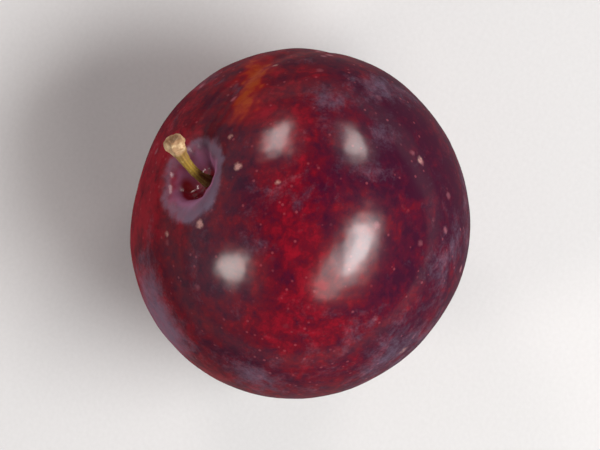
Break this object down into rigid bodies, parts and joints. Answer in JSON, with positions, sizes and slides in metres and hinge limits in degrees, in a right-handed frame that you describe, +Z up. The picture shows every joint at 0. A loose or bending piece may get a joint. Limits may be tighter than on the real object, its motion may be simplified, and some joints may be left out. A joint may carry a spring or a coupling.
{
  "type": "plum",
  "caption": "Fresh round red-purple plum with a stem cavity, a shallow suture and a short woody stalk, lying on a small flat spot.",
  "frame": {"origin": "on the surface the plum lies on, under the middle of its box", "axes": "+Z up; the stem axis leans 48 degrees from straight up towards -Y, so the stem cavity and the stalk face forward and up; the suture runs down the -X side"},
  "size_m": [0.052, 0.05, 0.0502],
  "materials": {
    "skin": "smooth thin fruit skin, wine red to dark purple, with a waxy grey bloom",
    "stalk_wood": "dry olive-brown stalk, tan at the swollen end"
  },
  "bodies": {
    "root": {"fruit": "skin", "stalk": "stalk_wood"}
  },
  "joints": []
}
